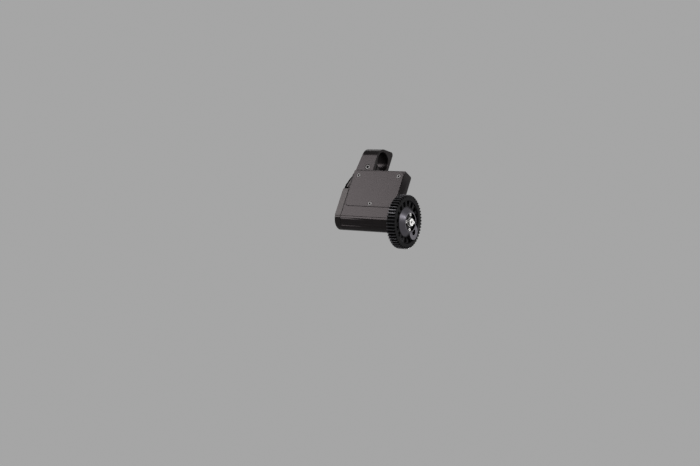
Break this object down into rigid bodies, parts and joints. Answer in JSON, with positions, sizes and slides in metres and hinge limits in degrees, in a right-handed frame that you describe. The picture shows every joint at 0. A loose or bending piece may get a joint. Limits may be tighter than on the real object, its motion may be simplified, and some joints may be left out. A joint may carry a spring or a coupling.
{
  "type": "lens iris motor",
  "caption": "Rod-mounted gear motor for turning a lens ring: split rod clamp with lever, flat sealed housing, round barrel, spur drive gear.",
  "frame": {"origin": "on the axis of the rod clamp's bore, at the middle of its length", "axes": "+X along the rod towards the drive gear, +Y away from the plate side, +Z from the barrel up to the rod"},
  "size_m": [0.0659, 0.0416, 0.0855],
  "materials": {
    "housing_metal": "fine-blasted, anodised dark grey, satin",
    "gear_metal": "hard-anodised black, satin",
    "hub_metal": "turned, anodised grey, satin",
    "bright_steel": "turned stainless steel",
    "dark_steel": "blackened steel, bright on its edges",
    "lever_metal": "satin black coat",
    "bearing_steel": "ground and polished",
    "gear_steel": "machined, dry",
    "bearing_brass": "machined brass",
    "can_steel": "drawn and nickel plated",
    "core_iron": "dull",
    "copper": "bare copper",
    "gasket_rubber": "matt black rubber",
    "board_laminate": "green solder mask",
    "insulator": "black glass-filled plastic",
    "socket_metal": "matt chrome",
    "contact_gold": "gold plated",
    "lead_insulation": "red silicone"
  },
  "bodies": {
    "housing": {"main_housing": "housing_metal", "rear_cap": "housing_metal", "rear_gasket": "gasket_rubber", "rear_cap_screws": "bright_steel", "cover_plate": "housing_metal", "cover_gasket": "gasket_rubber", "cover_screws": "dark_steel", "bearing_retainer": "gear_steel", "retainer_screws": "bright_steel", "clamp_block": "housing_metal", "clamp_mount_screws": "bright_steel", "bearing_outer_races": "bearing_steel", "gearbox_nose": "gear_steel", "ring_gear": "gear_steel", "motor_plate": "gear_steel", "motor_plate_screws": "bright_steel", "motor_can": "can_steel", "motor_magnet": "core_iron", "motor_bushes": "bearing_brass", "motor_end_cap": "insulator", "motor_brushes": "copper", "encoder_board": "board_laminate", "main_board": "board_laminate", "board_screws": "bright_steel", "socket_shells": "socket_metal", "socket_inserts": "insulator", "socket_pins": "contact_gold", "motor_leads": "lead_insulation"},
    "output": {"drive_gear": "gear_metal", "gear_hub": "hub_metal", "hub_screws": "bright_steel", "centre_screw": "bright_steel", "centre_washer": "bright_steel", "output_shaft": "bearing_steel", "shaft_key": "bearing_steel", "bearing_inner_races": "bearing_steel", "carrier_two": "gear_steel", "carrier_two_pins": "bearing_steel"},
    "ball_cages": {"bearing_cages": "bearing_brass", "bearing_balls": "bearing_steel"},
    "first_stage": {"sun_two": "gear_steel", "carrier_one": "gear_steel", "carrier_one_pins": "bearing_steel"},
    "rotor": {"sun_one": "gear_steel", "rotor_shaft": "bearing_steel", "rotor_core": "core_iron", "rotor_windings": "copper", "commutator": "copper", "encoder_disc": "insulator"},
    "clamp_washer": {"lever_washer": "bright_steel"},
    "lever": {"clamp_lever": "lever_metal", "clamp_screw": "dark_steel"},
    "planet_two_1": {"planet_two_1": "bearing_brass"},
    "planet_one_1": {"planet_one_1": "bearing_brass"},
    "planet_two_2": {"planet_two_2": "bearing_brass"},
    "planet_one_2": {"planet_one_2": "bearing_brass"},
    "planet_two_3": {"planet_two_3": "bearing_brass"},
    "planet_one_3": {"planet_one_3": "bearing_brass"}
  },
  "joints": [
    {"name": "gear_spin", "type": "hinge", "parent": "housing", "child": "output", "pos_m": [0, -0.0011, -0.0518], "axis": [1, 0, 0], "continuous": true},
    {"name": "cages_spin", "type": "hinge", "parent": "housing", "child": "ball_cages", "pos_m": [0, -0.0011, -0.0518], "axis": [1, 0, 0], "continuous": true},
    {"name": "first_stage_spin", "type": "hinge", "parent": "housing", "child": "first_stage", "pos_m": [0, -0.0011, -0.0518], "axis": [1, 0, 0], "continuous": true},
    {"name": "rotor_spin", "type": "hinge", "parent": "housing", "child": "rotor", "pos_m": [0, -0.0011, -0.0518], "axis": [1, 0, 0], "continuous": true},
    {"name": "planet_two_1_spin", "type": "hinge", "parent": "output", "child": "planet_two_1", "pos_m": [0, 0.00295, -0.0518], "axis": [1, 0, 0], "continuous": true},
    {"name": "planet_one_1_spin", "type": "hinge", "parent": "first_stage", "child": "planet_one_1", "pos_m": [0, 0.00295, -0.0518], "axis": [1, 0, 0], "continuous": true},
    {"name": "planet_two_2_spin", "type": "hinge", "parent": "output", "child": "planet_two_2", "pos_m": [0, -0.00313, -0.04829], "axis": [1, 0, 0], "continuous": true},
    {"name": "planet_one_2_spin", "type": "hinge", "parent": "first_stage", "child": "planet_one_2", "pos_m": [0, -0.00313, -0.04829], "axis": [1, 0, 0], "continuous": true},
    {"name": "planet_two_3_spin", "type": "hinge", "parent": "output", "child": "planet_two_3", "pos_m": [0, -0.00313, -0.05531], "axis": [1, 0, 0], "continuous": true},
    {"name": "planet_one_3_spin", "type": "hinge", "parent": "first_stage", "child": "planet_one_3", "pos_m": [0, -0.00313, -0.05531], "axis": [1, 0, 0], "continuous": true},
    {"name": "lever_travel", "type": "slide", "parent": "housing", "child": "clamp_washer", "axis": [0, 1, 0], "range_m": [0, 0.0007]},
    {"name": "lever_turn", "type": "hinge", "parent": "clamp_washer", "child": "lever", "pos_m": [0.0012, 0.012, -0.00995], "axis": [0, 1, 0], "range_deg": [0, 360]}
  ],
  "couplings": [
    {"joint": "cages_spin", "follows": "gear_spin", "ratio": 0.42857},
    {"joint": "first_stage_spin", "follows": "gear_spin", "ratio": 4.5},
    {"joint": "rotor_spin", "follows": "gear_spin", "ratio": 20.25},
    {"joint": "planet_two_1_spin", "follows": "gear_spin", "ratio": -2.8},
    {"joint": "planet_one_1_spin", "follows": "gear_spin", "ratio": -12.6},
    {"joint": "planet_two_2_spin", "follows": "gear_spin", "ratio": -2.8},
    {"joint": "planet_one_2_spin", "follows": "gear_spin", "ratio": -12.6},
    {"joint": "planet_two_3_spin", "follows": "gear_spin", "ratio": -2.8},
    {"joint": "planet_one_3_spin", "follows": "gear_spin", "ratio": -12.6},
    {"joint": "lever_travel", "follows": "lever_turn", "m_per_rad": 0.0001114}
  ]
}
